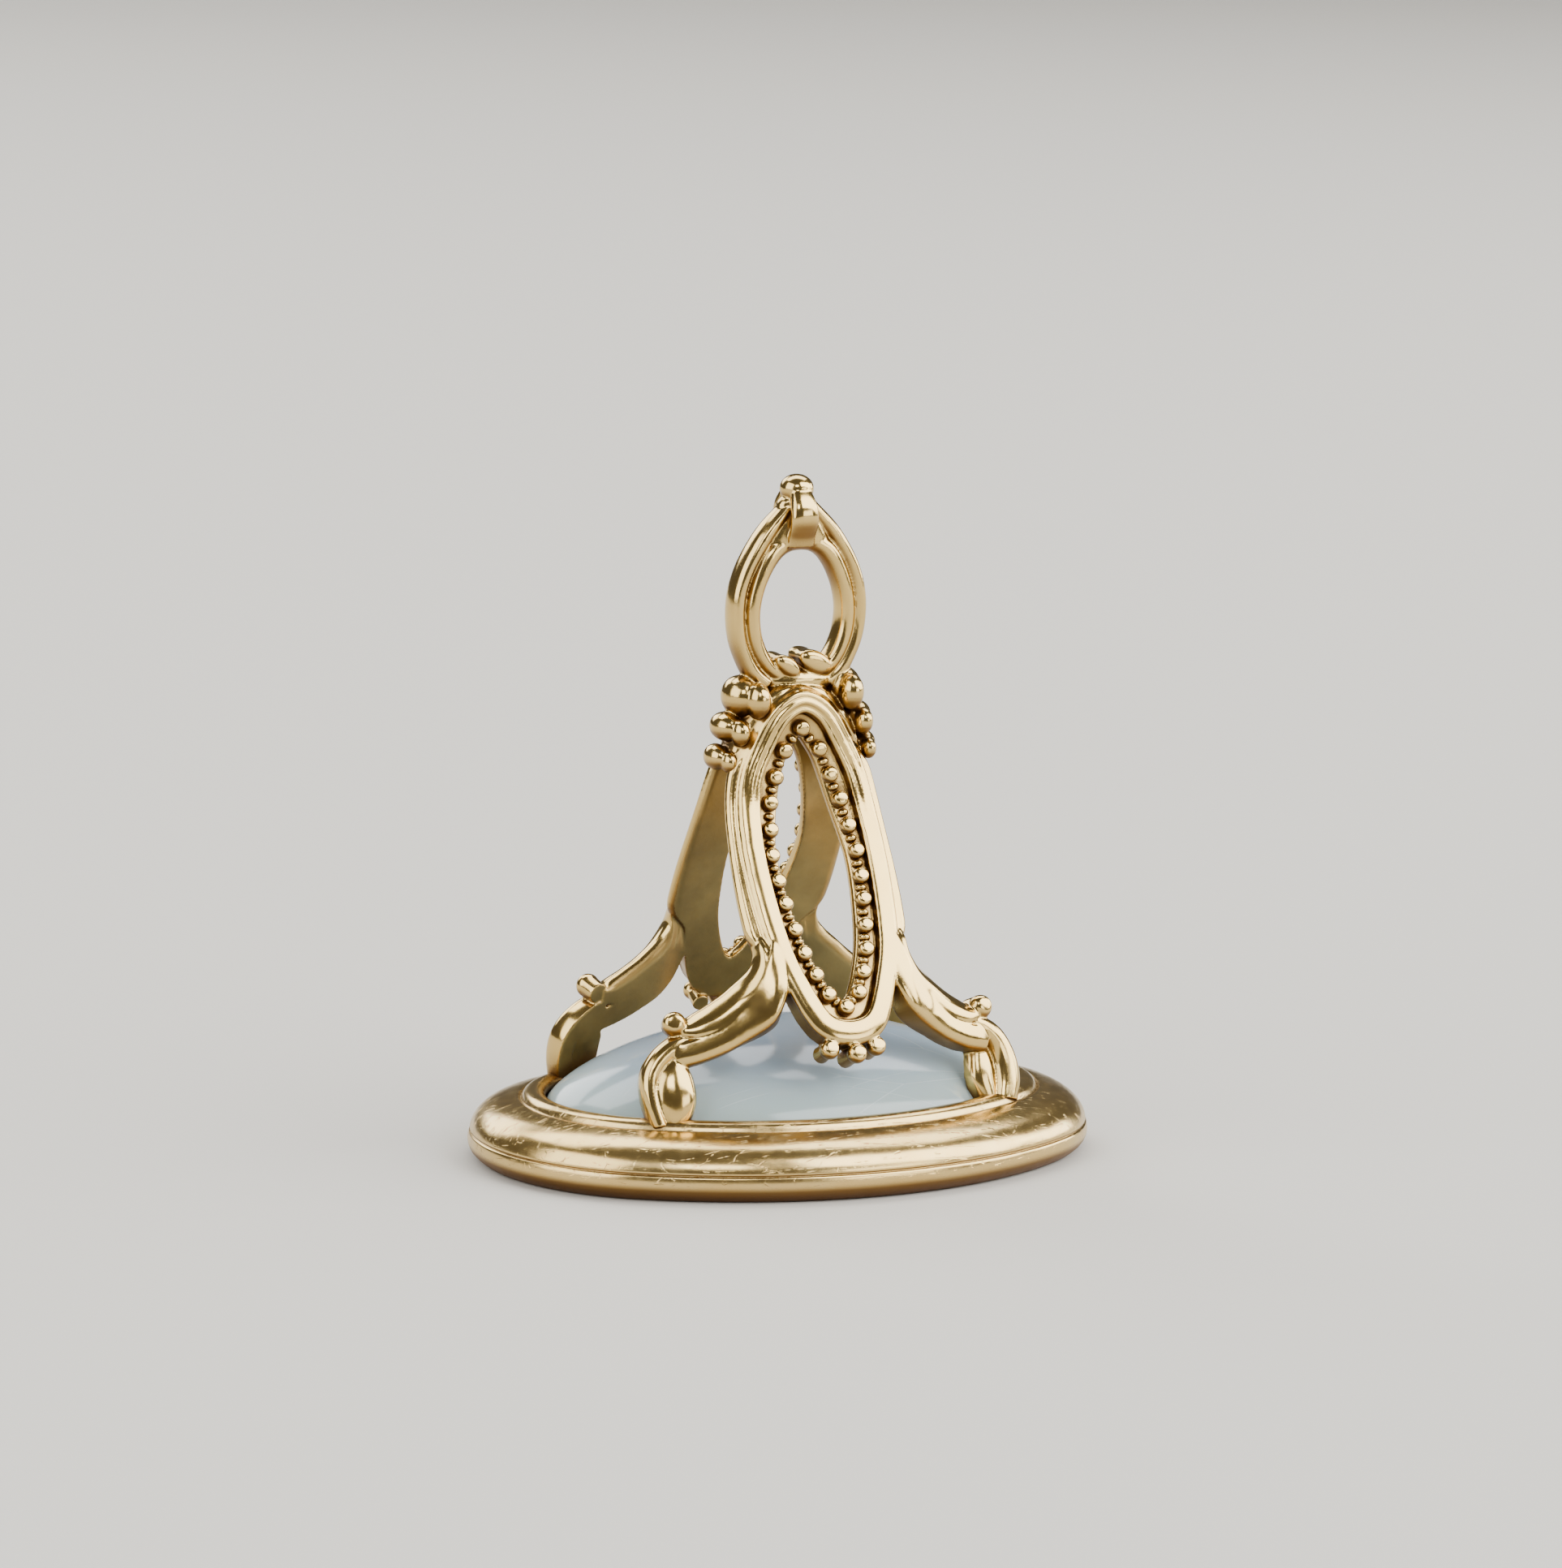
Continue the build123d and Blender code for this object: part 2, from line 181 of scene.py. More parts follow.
def castGold(name, colour="#DCC07A", wear=0.15, mottle=0.25, wobble=0.35, shadedUndersideShare=0.10, lines=0):
    # 9 carat yellow gold, cast and hand polished: warm mirror, soft ripples, dark patina in the corners, painted
    # shade on the faces that look down
    material = newMaterial(name)
    where = addNode(material, "ShaderNodeTexCoord")
    place = where.outputs["Object"]
    corner = addNode(material, "ShaderNodeAmbientOcclusion", {"samples": 6}, {"Distance": 0.7 * mm})
    unworn = addNode(material, "ShaderNodeMapRange", {"interpolation_type": "SMOOTHSTEP"},
                    {"Value": corner.outputs["AO"], "From Min": 0.30, "From Max": 0.82})
    # painted shade: the more a face looks down, the more the dark colour is painted on it, as if in shadow
    facing = addNode(material, "ShaderNodeSeparateXYZ", None, {"Vector": where.outputs["Normal"]})
    paintedUndersideShade = addNode(material, "ShaderNodeMapRange", {"interpolation_type": "SMOOTHSTEP"},
                     {"Value": facing.outputs["Z"], "From Min": -0.50, "From Max": -0.02, "To Min": shadedUndersideShare})
    patinaAndShade = addNode(material, "ShaderNodeMath", {"operation": "MULTIPLY"},
                    {0: unworn.outputs["Result"], 1: paintedUndersideShade.outputs["Result"]})
    cloud = addNode(material, "ShaderNodeTexNoise", None,
                    {"Vector": place, "Scale": 1 / (2.6 * mm), "Detail": 4.0, "Roughness": 0.6})
    tint = addNode(material, "ShaderNodeMix", {"data_type": "RGBA"},
                   {"Factor": cloud.outputs["Fac"], "A": hexColour(colour), "B": hexColour("#CFAC66")})
    # the dark colour goes where the corners hold patina and where the undersides get painted shade
    patinaAndShadeColour = addNode(material, "ShaderNodeMix", {"data_type": "RGBA"},
                      {"Factor": patinaAndShade.outputs[0], "A": hexColour("#6B4A26"),
                       "B": tint.outputs["Result"]})
    rub = addNode(material, "ShaderNodeTexNoise", None,
                  {"Vector": place, "Scale": 1 / (0.5 * mm), "Detail": 5.0, "Roughness": 0.65})
    rough = addNode(material, "ShaderNodeMapRange", None,
                    {"Value": rub.outputs["Fac"], "From Min": 0.35, "From Max": 0.75,
                     "To Min": wear * 0.85, "To Max": wear * 1.25})
    dull = addNode(material, "ShaderNodeMapRange", None,
                   {"Value": patinaAndShade.outputs[0], "To Min": 0.25, "To Max": 0.0})
    roughness = addNode(material, "ShaderNodeMath", {"operation": "ADD"},
                        {0: rough.outputs["Result"], 1: dull.outputs["Result"]})
    ripple = addNode(material, "ShaderNodeTexNoise", None,
                     {"Vector": place, "Scale": 1 / (1.7 * mm), "Detail": 1.0})
    soft = addNode(material, "ShaderNodeBump", None,
                   {"Height": ripple.outputs["Fac"], "Distance": 0.10 * mm, "Strength": wobble})
    scratch = addNode(material, "ShaderNodeBump", None,
                      {"Height": rub.outputs["Fac"], "Distance": 0.012 * mm, "Strength": mottle,
                       "Normal": soft.outputs["Normal"]})
    normal = scratch.outputs["Normal"]
    if lines:
        hair = hairLines(material, place, 0.70 * mm, 0.08, rub.outputs["Fac"], 1.0)
        cut = addNode(material, "ShaderNodeBump", {"invert": True},
                      {"Height": hair, "Distance": 0.02 * mm, "Strength": lines, "Normal": normal})
        normal = cut.outputs["Normal"]
    surface = addNode(material, "ShaderNodeBsdfPrincipled", None,
                      {"Base Color": patinaAndShadeColour.outputs["Result"], "Metallic": 1.0,
                       "Roughness": roughness.outputs[0], "Normal": normal})
    addNode(material, "ShaderNodeOutputMaterial", None, {"Surface": surface.outputs["BSDF"]})
    return material


def polishedChalcedony(name):
    # pale blue-grey chalcedony, cut as a dome and polished: cloudy, a little see-through, glassy on top
    material = newMaterial(name)
    place = addNode(material, "ShaderNodeTexCoord").outputs["Object"]
    cloud = addNode(material, "ShaderNodeTexNoise", None,
                    {"Vector": place, "Scale": 1 / (6.0 * mm), "Detail": 3.0, "Roughness": 0.5})
    clouded = addNode(material, "ShaderNodeMix", {"data_type": "RGBA"},
                      {"Factor": cloud.outputs["Fac"], "A": hexColour("#94A5A8"), "B": hexColour("#AAB9B6")})
    height = addNode(material, "ShaderNodeSeparateXYZ", None, {"Vector": place})
    deep = addNode(material, "ShaderNodeMapRange", {"interpolation_type": "SMOOTHSTEP"},
                   {"Value": height.outputs["Z"], "From Min": 3.0 * mm, "From Max": 5.6 * mm, "To Max": 0.6})
    tint = addNode(material, "ShaderNodeMix", {"data_type": "RGBA"},     # bluer where it is thicker
                   {"Factor": deep.outputs["Result"], "A": clouded.outputs["Result"], "B": hexColour("#8697B2")})
    hair = hairLines(material, place, 2.6 * mm, 0.22, cloud.outputs["Fac"], 0.55)
    scratched = addNode(material, "ShaderNodeMix", {"data_type": "RGBA"},
                        {"Factor": hair, "A": tint.outputs["Result"], "B": hexColour("#D3DADC")})
    surface = addNode(material, "ShaderNodeBsdfPrincipled", None,
                      {"Base Color": scratched.outputs["Result"], "Roughness": 0.12, "IOR": 1.54,
                       "Specular IOR Level": 0.5,
                       "Subsurface Weight": 0.6, "Subsurface Radius": (0.9, 1.1, 1.4),
                       "Subsurface Scale": 1.0 * mm})
    addNode(material, "ShaderNodeOutputMaterial", None, {"Surface": surface.outputs["BSDF"]})
    return material


def paleFloor(name):
    # seamless paper: matt, near white
    material = newMaterial(name)
    surface = addNode(material, "ShaderNodeBsdfPrincipled", None,
                      {"Base Color": hexColour("#C6C3BC"), "Roughness": 0.85})
    addNode(material, "ShaderNodeOutputMaterial", None, {"Surface": surface.outputs["BSDF"]})
    return material


def makeStudio(s):
    bm = bmesh.new()
    bmesh.ops.create_grid(bm, x_segments=1, y_segments=1, size=s["floorSize"])
    mesh = bpy.data.meshes.new("floor")
    bm.to_mesh(mesh)
    bm.free()
    mesh.materials.append(paleFloor("seamlessPaper"))
    floor = bpy.data.objects.new("floor", mesh)
    bpy.context.scene.collection.objects.link(floor)
    world = bpy.data.worlds.new("room")
    world.use_nodes = True
    world.node_tree.nodes["Background"].inputs["Color"].default_value = hexColour(s["world"])
    world.node_tree.nodes["Background"].inputs["Strength"].default_value = s["worldStrength"]
    bpy.context.scene.world = world
    for box in s["boxes"]:
        softBox(*box)


placeCamera(viewpoint)
makeStudio(studio)
polishedGold = castGold("polishedCastGold")
handledGold = castGold("handledCastGold", colour="#DCC286", wear=0.22, mottle=0.18, wobble=0.3, lines=0.38)
mattGold = castGold("mattCastGold", colour="#6E6142", wear=0.36, mottle=0.9, wobble=0.5, shadedUndersideShare=0.75)
stoneFinish = polishedChalcedony("polishedChalcedony")
print("studio and materials ready")


# base

baseRing = {
    "halfLength": 14.0,
    "halfWidth": 10.27,
    "endCentre": 5.404,
    "steps": (40, 28),         # faces round an end arc and a side arc
    # in from the widest line, height
    "profile": [(3.02, 0.12), (3.02, 0.0), (0.80, 0.0), (0.62, 0.03), (0.50, 0.12), (0.42, 0.17),
                (0.22, 0.33), (0.06, 0.56), (0.0, 0.80), (0.02, 1.02), (0.05, 1.15), (0.09, 1.19),
                (0.17, 1.22), (0.10, 1.27), (0.10, 1.36), (0.17, 1.60), (0.33, 1.88), (0.60, 2.15),
                (0.95, 2.38), (1.40, 2.55), (1.85, 2.66), (2.10, 2.70), (2.19, 2.66), (2.24, 2.60),
                (2.30, 2.66), (2.36, 2.83), (2.50, 2.97), (2.72, 3.04), (2.95, 3.03), (3.15, 2.96),
                (3.27, 2.88), (3.32, 2.78), (3.32, 2.52), (2.70, 2.0), (2.70, 0.45)],
}


def ovalArcs(base):
    # centre, radius, start and sweep of the four arcs
    endRadius = base["halfLength"] - base["endCentre"]
    slack = base["endCentre"] - (base["halfLength"] - base["halfWidth"])
    sideCentre = (base["endCentre"] ** 2 - slack ** 2) / (2 * slack)
    sideRadius = base["halfWidth"] + sideCentre
    join = math.atan2(sideCentre, base["endCentre"])
    return [((base["endCentre"], 0), endRadius, -join, 2 * join),
            ((0, -sideCentre), sideRadius, join, math.pi - 2 * join),
            ((-base["endCentre"], 0), endRadius, math.pi - join, 2 * join),
            ((0, sideCentre), sideRadius, math.pi + join, math.pi - 2 * join)]


def makeBase(base):
    # the moulding is spun round the four centres of the oval, one after the other
    bm = bmesh.new()
    for i, (centre, radius, start, sweep) in enumerate(ovalArcs(base)):
        out = Vector((math.cos(start), math.sin(start), 0))
        middle = Vector((centre[0], centre[1], 0))
        verts = [bm.verts.new(middle + out * (radius - inset) + Vector((0, 0, z))) for inset, z in base["profile"]]
        edges = [bm.edges.new((verts[k], verts[(k + 1) % len(verts)])) for k in range(len(verts))]
        bmesh.ops.spin(bm, geom=verts + edges, cent=middle, axis=(0, 0, 1), angle=sweep,
                       steps=base["steps"][i % 2], use_merge=False)
    bmesh.ops.remove_doubles(bm, verts=bm.verts, dist=0.004)
    piece = finishPiece(bm, "baseRing", [handledGold])
    rounding = piece.modifiers.new("rounding", "SUBSURF")
    rounding.levels = rounding.render_levels = 2


makeBase(baseRing)
print("base made")


# stone

stone = {
    "inset": 3.37,             # clear of the ring by 0.05
    "rim": 2.50,
    "apex": 5.90,
    "rings": 26,
    "segments": 160,
    "fullness": 0.72,          # 0.5 is an ellipse, more is flatter at the edge
    # girdle and seal face below the ring: in from the widest line, height
    "girdle": [(3.37, 2.45), (2.75, 1.95), (2.75, 0.47), (3.10, 0.12), (3.30, 0.09)],
}


def ovalReach(base, inset, turn):
    # distance from the middle to the oval in that direction
    x, y = math.cos(turn), math.sin(turn)
    for centre, radius, start, sweep in ovalArcs(base):
        along = centre[0] * x + centre[1] * y
        root = along ** 2 - centre[0] ** 2 - centre[1] ** 2 + (radius - inset) ** 2
        reach = along + math.sqrt(max(root, 0))
        bearing = math.atan2(reach * y - centre[1], reach * x - centre[0])
        if (bearing - start) % (2 * math.pi) <= sweep + 1e-6:
            return reach
    return base["halfLength"] - inset


def makeStone(s):
    bm = bmesh.new()
    rows = []
    for i in range(s["rings"]):
        share = math.sin(math.pi / 2 * (i + 1) / s["rings"])
        rows.append((s["inset"], share, s["rim"] + (s["apex"] - s["rim"]) * (1 - share ** 2) ** s["fullness"]))
    rows += [(inset, 1.0, z) for inset, z in s["girdle"]]
    ring = bmesh.ops.create_circle(bm, segments=s["segments"], radius=1)["verts"]
    edges = list(bm.edges)
    first = edges[:]
    for i, (inset, share, z) in enumerate(rows):
        if i:
            made = bmesh.ops.extrude_edge_only(bm, edges=edges)["geom"]
            ring = [g for g in made if isinstance(g, bmesh.types.BMVert)]
            edges = [g for g in made if isinstance(g, bmesh.types.BMEdge)]
        for vert in ring:
            turn = math.atan2(vert.co.y, vert.co.x)
            reach = ovalReach(baseRing, inset, turn) * share
            vert.co = (reach * math.cos(turn), reach * math.sin(turn), z)
    bmesh.ops.contextual_create(bm, geom=first)
    bmesh.ops.contextual_create(bm, geom=edges)
    top = max(bm.faces, key=lambda f: f.calc_center_median().z)
    bmesh.ops.poke(bm, faces=[top])
    piece = finishPiece(bm, "sealStone", [stoneFinish])
    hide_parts("seal_stone")


makeStone(stone)
print("stone made")


# plates with their legs, cast in one

plate = {
    # edge of the face, right half from the top down (x, z)
    "outline": [(0, 20.30), (1.33, 19.67), (2.33, 18.14), (3.06, 16.34), (3.33, 13.45), (3.08, 10.25),
                (2.50, 8.33), (1.50, 6.62), (0, 6.12)],
    # middle of the bead row, right half from the top down
    "opening": [(0, 18.68), (0.80, 17.85), (1.32, 16.68), (1.86, 14.69), (2.02, 13.36), (1.88, 11.69),
                (1.48, 9.81), (0.74, 8.14), (0, 7.59)],
    # front of the face from the side: height, distance from the middle plane
    "lean": [(5.4, 7.35), (6.12, 7.02), (8.20, 5.89), (10.09, 4.87), (11.77, 3.90), (13.36, 3.00), (14.30, 2.50),
             (15.20, 2.07), (16.00, 1.77), (16.80, 1.57), (17.60, 1.46), (18.50, 1.39), (20.35, 1.35), (21.5, 1.36)],
    "stations": 168,
    # grooves of the arch: in from the edge, depth, height where it starts, height where it is full
    "reeding": [(-0.63, 0.065, 13.2, 18.4), (-0.27, 0.065, 15.2, 18.4)],
    "grooveReach": (0.15, 0.02),         # the groove fades in between these distances from its middle
    "flankGrowth": (14.6, 10.3, 0.42, 0.36),     # rear roll from that height down to that: wider, deeper
    "flankStart": 0.35,        # depth where the rear roll begins
    "flankEnd": (9.6, 10.25),  # the rear roll sinks into the leg between these heights
    "mattFacing": 0.72,        # faces turned this far inwards are left matt
    "web": (16.7, 17.9),       # between these heights the rear roll turns into the web of the knobs
    "webSlope": (0.15, 0.62),  # there it runs out from this depth, by this much for each step back
    "nick": (3.26, 0.15, 15.95, 0.20, 0.13),     # dent in the right edge: x, depth behind the face, z, reach, depth
    "voxel": 0.05,
    "smoothing": 3,
    "triangles": 190000,
}
# section round the plate: from which line, out from it, depth behind the face
plateSection = [("opening", -0.34, 0.95), ("opening", -0.38, 0.72), ("opening", -0.37, 0.54),
                ("opening", -0.30, 0.48), ("opening", 0.05, 0.46), ("edge", -0.97, 0.43), ("edge", -0.95, 0.28),
                ("edge", -0.94, 0.10), ("edge", -0.90, 0.02), ("edge", -0.84, 0.0), ("edge", -0.77, -0.012),
                ("edge", -0.70, -0.022), ("edge", -0.66, -0.028), ("edge", -0.60, -0.034), ("edge", -0.54, -0.036),
                ("edge", -0.48, -0.034), ("edge", -0.40, -0.024), ("edge", -0.33, -0.01), ("edge", -0.27, 0.005),
                ("edge", -0.21, 0.022), ("edge", -0.15, 0.045), ("edge", -0.09, 0.075), ("edge", -0.04, 0.11),
                ("edge", 0.0, 0.155), ("edge", 0.03, 0.21), ("edge", 0.05, 0.28), ("flank", 0.09, 0.35)]
# the roll behind the edge is round: middle, half width and half depth, from the front to the back
flankRoll = (0.14, 0.65, 0.33, 0.29)
plateSection += [("flank", flankRoll[0] + flankRoll[2] * math.cos(math.radians(turn)),
                  flankRoll[1] + flankRoll[3] * math.sin(math.radians(turn))) for turn in range(-64, 93, 12)]

leg = {
    # front of the leg: distance from the middle plane at x 3, z 10, its growth downwards and inwards
    "plane": (4.80, 0.338, -0.278),
    "turnStart": 2.0,          # the plate turns into the leg from this x, over this width, below these heights
    "turnWidth": 2.9,
    "turnHeights": (10.9, 9.3),
    "back": 1.18,
    "topTrim": (0.24, 8.6, 10.0),      # at the top the leg is thinner by this, to stay in the plate
    "stations": 44,
    # along each strip: x, depth of its front, z, half width
    "upperRoll": [(3.38, 0.34, 10.50, 0.20), (3.44, 0.14, 10.10, 0.31), (3.52, 0.03, 9.40, 0.42),
                  (3.94, 0.0, 8.62, 0.52), (4.67, 0.0, 7.90, 0.55), (5.49, 0.0, 7.33, 0.59), (6.18, 0.0, 7.02, 0.54),
                  (6.66, 0.03, 6.86, 0.46), (7.14, 0.10, 6.84, 0.36)],
    "lowerStrip": [(2.44, 0.08, 10.90, 0.34), (2.62, 0.0, 10.05, 0.46), (2.82, -0.01, 9.32, 0.56),
                   (3.14, -0.01, 8.62, 0.64), (3.76, 0.0, 7.65, 0.59), (4.50, 0.0, 6.90, 0.55),
                   (5.36, 0.02, 6.32, 0.50), (6.34, 0.04, 5.95, 0.50), (7.03, 0.05, 5.76, 0.50),
                   (7.52, 0.12, 5.60, 0.46)],
    "comma": [(6.90, 0.16, 6.34, 0.34), (7.34, 0.08, 6.16, 0.42), (7.82, 0.03, 5.85, 0.42), (8.25, 0.0, 5.46, 0.41),
              (8.57, 0.0, 4.96, 0.40), (8.68, 0.0, 4.40, 0.38), (8.65, 0.02, 3.80, 0.37), (8.53, 0.05, 3.26, 0.36),
              (8.42, 0.08, 2.84, 0.36)],
    "bulb": [(7.46, 0.22, 5.58, 0.42), (7.55, 0.02, 5.08, 0.74), (7.64, -0.08, 4.46, 0.90), (7.68, -0.08, 3.92, 0.90),
             (7.74, 0.0, 3.42, 0.76), (7.82, 0.16, 2.98, 0.56), (7.86, 0.24, 2.84, 0.48)],
    "scroll": (7.37, 7.00, 0.53),      # ball at the end of the upper roll: x, z, radius
    "scrollDepth": 0.30,               # its middle behind the front
    "scrollEnd": 0.10,                 # the rod behind it ends that much before the back
    "scrollFlat": 0.85,
    "scrollRod": (0.96, 0.85),         # radii of the rod, as shares of the ball's
    # the right leg, bent by hand, sits lower outside: by how much, from x to x, from z to z
    "sag": (0.24, 4.2, 6.2, 3.0, 5.2),
    # foot of the right leg: a broad flat comma with its drop set back
    "rightComma": [(6.90, 0.10, 6.46, 0.32), (7.34, 0.04, 6.26, 0.42), (7.84, 0.0, 5.88, 0.48),
                   (8.22, 0.0, 5.40, 0.52), (8.46, 0.0, 4.78, 0.58), (8.54, 0.0, 4.16, 0.62), (8.52, 0.0, 3.60, 0.62),
                   (8.40, 0.02, 3.16, 0.60), (8.30, 0.04, 2.84, 0.58)],
    "rightBulb": [(7.30, 0.50, 5.60, 0.40), (7.36, 0.36, 5.08, 0.56), (7.40, 0.30, 4.46, 0.66),
                  (7.42, 0.30, 3.92, 0.66), (7.50, 0.32, 3.42, 0.60), (7.58, 0.36, 2.98, 0.52),
                  (7.62, 0.40, 2.84, 0.48)],
}
# sections of the strips: share of the half width, the upper or outer side first; depth behind the front
stripSections = {
    "upperRoll": [(1.0, 0.74), (0.88, 0.52), (0.60, 0.31), (0.24, 0.12), (-0.12, 0.02), (-0.55, 0.0), (-0.86, 0.03),
                  (-0.98, 0.12), (-1.0, 0.34), (-1.0, 0.80), (-0.80, 1.2), (0.0, 1.2), (0.60, 1.14), (0.92, 0.98)],
    "lowerStrip": [(1.0, 0.24), (0.96, 0.09), (0.82, 0.02), (0.40, 0.0), (-0.10, 0.0), (-0.45, 0.04),
                   (-0.75, 0.10), (-0.93, 0.20), (-1.0, 0.36), (-1.0, 1.0), (-0.85, 1.2), (0.0, 1.2), (0.85, 1.2),
                   (1.0, 1.0)],
    "comma": [(1.0, 0.50), (0.80, 0.20), (0.40, 0.04), (0.0, 0.0), (-0.45, 0.04), (-0.82, 0.20), (-1.0, 0.46),
              (-1.0, 0.95), (-0.75, 1.2), (0.75, 1.2), (1.0, 0.95)],
    "bulb": [(1.0, 0.62), (0.84, 0.26), (0.48, 0.07), (0.0, 0.0), (-0.48, 0.07), (-0.84, 0.26), (-1.0, 0.60),
             (-0.96, 0.98), (-0.72, 1.2), (0.72, 1.2), (0.96, 0.98)],
}

# bead-ended posts: place and depth of their beads, radii, depth of the far end; the rod begins inside the bead
posts = {"side": 1.10, "sideHeight": 6.02, "sideDepth": 0.42, "middleHeight": 5.72, "middleDepth": 0.14,
         "radius": 0.43, "rod": 0.38, "length": 1.40, "rodFrom": 0.25, "rodTaper": 0.85}


def smoothAt(table, at):
    # smooth value at that place in a table of (place, value), places rising
    i = max(k for k in range(len(table) - 1) if k == 0 or table[k][0] <= at)
    (x1, y1), (x2, y2) = table[i], table[i + 1]

    def slope(k):
        low, high = table[max(k - 1, 0)], table[min(k + 1, len(table) - 1)]
        return (high[1] - low[1]) / (high[0] - low[0])
    step, f = x2 - x1, (at - x1) / (x2 - x1)
    return ((2 * f ** 3 - 3 * f ** 2 + 1) * y1 + (f ** 3 - 2 * f ** 2 + f) * step * slope(i)
            + (3 * f ** 2 - 2 * f ** 3) * y2 + (f ** 3 - f ** 2) * step * slope(i + 1))


def fade(low, high, value):
    f = min(max((value - low) / (high - low), 0), 1)     # also for a high below the low
    return f * f * (3 - 2 * f)


def frontAt(x, z):
    # distance of the front from the middle plane: the leaning plate, turning into the flat leg
    start, down, out = leg["plane"]
    x = abs(x)
    f = min(max((x - leg["turnStart"]) / leg["turnWidth"], 0), 1)
    onLeg = f ** 3 * (6 * f * f - 15 * f + 10) * fade(*leg["turnHeights"], z)
    flat = start + down * (10 - z) + out * (x - 3)
    lowest = plate["lean"][0][0]
    return smoothAt(plate["lean"], max(z, lowest)) * (1 - onLeg) + flat * onLeg


def lean(x, depth, z):
    # from flat plate measure (x, depth behind the front, height) to its place on the leaning front
    step = 0.12
    dx = (frontAt(x + step, z) - frontAt(x - step, z)) / (2 * step)
    dz = (frontAt(x, z + step) - frontAt(x, z - step)) / (2 * step)
    inward = Vector((dx, 1, dz)).normalized()
    return Vector((x, -frontAt(x, z), z)) + inward * depth


def mirrored(half):
    return half + [(-x, z) for x, z in half[-2:0:-1]]


def lineFrame(points, share):
    # place and outward direction on a closed line in front view, clockwise from the top
    step = 0.002
    here = Vector(glide(points, share, closed=True))
    ahead = Vector(glide(points, (share + step) % 1, closed=True))
    behind = Vector(glide(points, (share - step) % 1, closed=True))
    along = (ahead - behind).normalized()
    return here, Vector((-along[1], along[0]))


def addPlate(bm):
    edge, opening = mirrored(plate["outline"]), mirrored(plate["opening"])
    count = plate["stations"]
    frames = []
    for k in range(count):
        share = k / count
        outer, outerWay = lineFrame(edge, share)
        inner, innerWay = lineFrame(opening, share)
        frames.append((outer, outerWay, inner, innerWay))
    bmesh.ops.create_circle(bm, segments=count, radius=1)
    bm.verts.ensure_lookup_table()
    ring, edges = list(bm.verts), list(bm.edges)
    first = edges
    for i, (line, out, depth) in enumerate(plateSection):
        if i:
            ring, edges = extrudeRing(bm, ring, edges)
        for vert, (outer, outerWay, inner, innerWay) in zip(ring, frames):
            spot = inner + innerWay * out if line == "opening" else outer + outerWay * out
            deep = depth
            if line == "edge":
                for place, groove, start, full in plate["reeding"]:
                    near = fade(*plate["grooveReach"], abs(out - place))
                    deep += groove * near * fade(start, full, outer[1])
            if line == "flank":
                start, full, wider, deeper = plate["flankGrowth"]
                grown = fade(start, full, outer[1])
                turned = fade(*plate["web"], outer[1])
                sunk = fade(*plate["flankEnd"], outer[1])
                width = out * (1 + wider * grown) * sunk
                deep = depth + (depth - plate["flankStart"]) * deeper * grown
                level, slope = plate["webSlope"]
                spot = outer + outerWay * (width * (1 - turned) + (depth - level) * slope * turned)
            vert.co = lean(spot[0], deep, spot[1])
    bmesh.ops.bridge_loops(bm, edges=first + edges)


def extrudeRing(bm, ring, edges):
    # extrudes a ring of edges and gives the new ring with its verts in the old one's order
    made = bmesh.ops.extrude_edge_only(bm, edges=edges)["geom"]
    fresh = {g for g in made if isinstance(g, bmesh.types.BMVert)}
    follow = []
    for vert in ring:
        follow.append(next(e.other_vert(vert) for e in vert.link_edges if e.other_vert(vert) in fresh))
    return follow, [g for g in made if isinstance(g, bmesh.types.BMEdge) and all(v in fresh for v in g.verts)]


def addStrip(bm, rows, profile, back, count, sides=44):
    # a strip with a flat back, its section a smooth line through the profile
    ring = bmesh.ops.create_circle(bm, segments=sides, radius=1)["verts"]
    edges = list({e for v in ring for e in v.link_edges})
    start = edges
    section = [glide(profile, k / sides, closed=True) for k in range(sides)]
    trim, low, high = leg["topTrim"]
    for k in range(count + 1):
        if k:
            ring, edges = extrudeRing(bm, ring, edges)
        share = k / count
        x, front, z, half = glide(rows, share)
        ahead, behind = glide(rows, min(share + 0.01, 1)), glide(rows, max(share - 0.01, 0))
        along = Vector((ahead[0] - behind[0], ahead[2] - behind[2])).normalized()
        rear = back - trim * fade(low, high, z)
        for vert, (across, depth) in zip(ring, section):
            off = half * across
            vert.co = lean(x - along.y * off, min(front + depth, rear), z + along.x * off)
    bmesh.ops.contextual_create(bm, geom=start)
    bmesh.ops.contextual_create(bm, geom=edges)


# tops of balls are rubbed from that share of the radius outwards, and lose that share of what stood proud
ballWear = {"from": 0.70, "loss": 0.75}


def addBall(bm, place, radius, scale=(1, 1, 1), turn=0, facing=None, segments=28):
    # ball or egg, turned about Y; with facing given, that side is rubbed flatter by wear
    matrix = Matrix.Translation(place) @ Matrix.Rotation(turn, 4, "Y") @ Matrix.Diagonal((*scale, 1))
    verts = bmesh.ops.create_uvsphere(bm, u_segments=segments, v_segments=segments // 2, radius=radius,
                                      matrix=matrix)["verts"]
    if facing is not None:
        facing = Vector(facing).normalized()
        for vert in verts:
            proud = (vert.co - place).dot(facing) / radius
            if proud > ballWear["from"]:
                vert.co -= facing * radius * (proud - ballWear["from"]) * ballWear["loss"]
    return verts


def addRod(bm, start, end, radius1, radius2, segments=24):
    axis = end - start
    matrix = Matrix.Translation((start + end) / 2) @ axis.to_track_quat("Z", "Y").to_matrix().to_4x4()
    bmesh.ops.create_cone(bm, cap_ends=True, segments=segments, radius1=radius1, radius2=radius2,
                          depth=axis.length, matrix=matrix)


